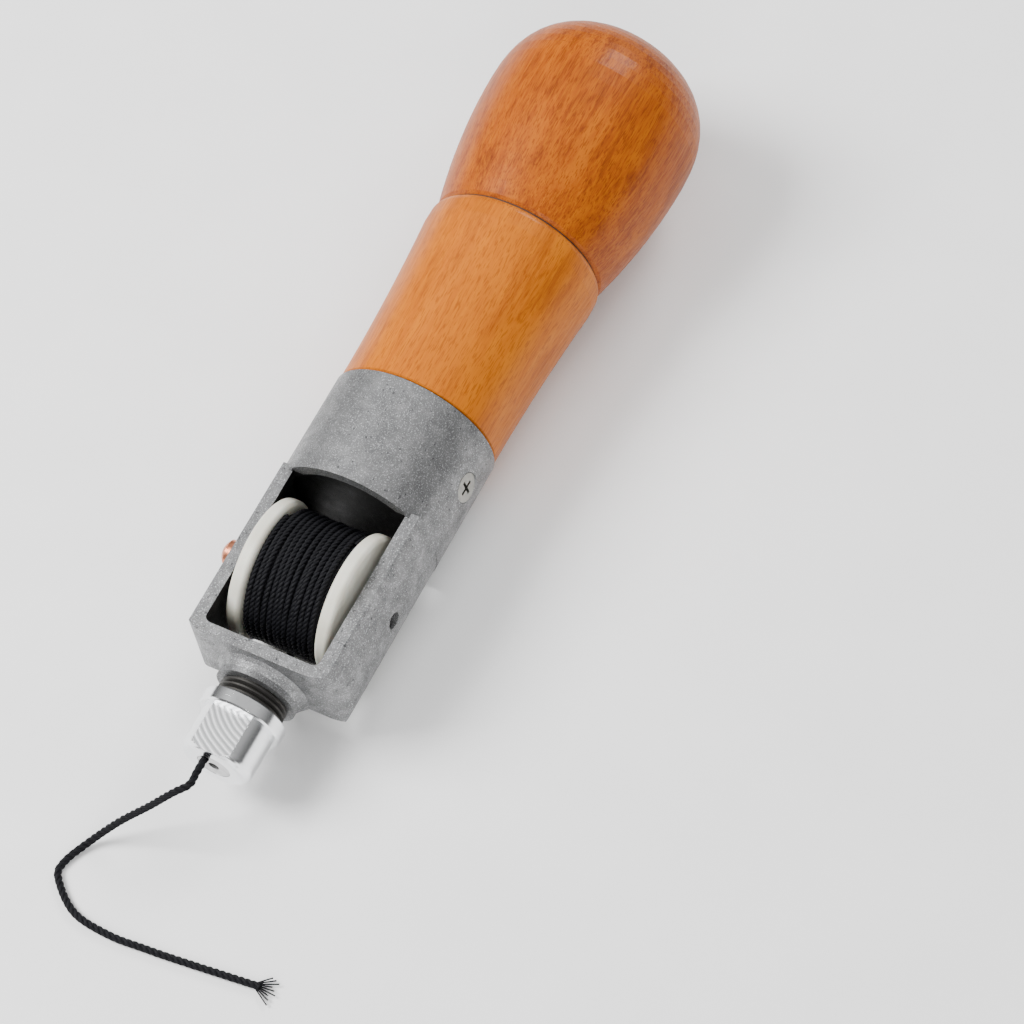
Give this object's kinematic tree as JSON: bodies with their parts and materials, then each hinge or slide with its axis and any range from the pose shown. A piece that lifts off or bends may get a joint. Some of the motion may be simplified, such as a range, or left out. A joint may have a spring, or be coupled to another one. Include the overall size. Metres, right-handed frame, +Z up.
{
  "type": "sewing awl",
  "caption": "Hand sewing awl with a cast metal head, thread bobbin on a pull-out axle, screw chuck and hollow wooden handle with an unscrewing knob.",
  "frame": {"origin": "on the surface it lies on, under the middle of the tool's bounding box without the thread", "axes": "+X along the tool towards the knob, +Z up out of the bobbin window, +Y towards the axle's copper head"},
  "size_m": [0.1865, 0.0427, 0.0397],
  "materials": {
    "cast_metal": "satin cast",
    "nose_steel": "dark oiled",
    "bright_metal": "polished",
    "screw_steel": "plated",
    "copper": "copper, domed",
    "ivory_plastic": "semi matt",
    "black_thread": "waxed twisted thread",
    "grip_wood": "clear lacquer",
    "knob_wood": "clear lacquer",
    "insert_steel": "turned",
    "fibre": "dark fibre",
    "needle_steel": "polished"
  },
  "bodies": {
    "head": {"head_casting": "cast_metal", "threaded_nose": "nose_steel", "handle_screw": "screw_steel", "handle_grip": "grip_wood", "grip_insert": "insert_steel", "long_needle": "needle_steel", "short_needle": "needle_steel", "wrench": "insert_steel", "thread_lead": "black_thread", "thread_tail": "black_thread"},
    "axle": {"bobbin_axle": "copper"},
    "bobbin": {"bobbin_spool": "ivory_plastic", "thread_winding": "black_thread"},
    "collet": {"collet": "screw_steel"},
    "cap": {"chuck_cap": "bright_metal"},
    "washer": {"knob_washer": "fibre"},
    "knob": {"handle_knob": "knob_wood", "knob_sleeve": "insert_steel"}
  },
  "joints": [
    {"name": "axle_pull", "type": "slide", "parent": "head", "child": "axle", "axis": [0, 1, 0], "range_m": [0, 0.029]},
    {"name": "bobbin_spin", "type": "hinge", "parent": "head", "child": "bobbin", "pos_m": [-0.04169, 0, 0.01576], "axis": [0, 1, 0], "continuous": true},
    {"name": "chuck_travel", "type": "slide", "parent": "head", "child": "collet", "axis": [-0.9984, 0, -0.0561], "range_m": [0, 0.005]},
    {"name": "chuck_turn", "type": "hinge", "parent": "collet", "child": "cap", "pos_m": [-0.07165, 0, 0.01237], "axis": [-0.9984, 0, -0.0561], "range_deg": [0, 2251]},
    {"name": "knob_travel", "type": "slide", "parent": "head", "child": "washer", "axis": [0.9984, 0, 0.0561], "range_m": [0, 0.014]},
    {"name": "knob_turn", "type": "hinge", "parent": "washer", "child": "knob", "pos_m": [0.04417, 0, 0.01888], "axis": [0.9984, 0, 0.0561], "range_deg": [0, 3361]}
  ],
  "couplings": [
    {"joint": "chuck_turn", "follows": "chuck_travel", "rad_per_m": 7854},
    {"joint": "knob_turn", "follows": "knob_travel", "rad_per_m": 4188.8}
  ]
}
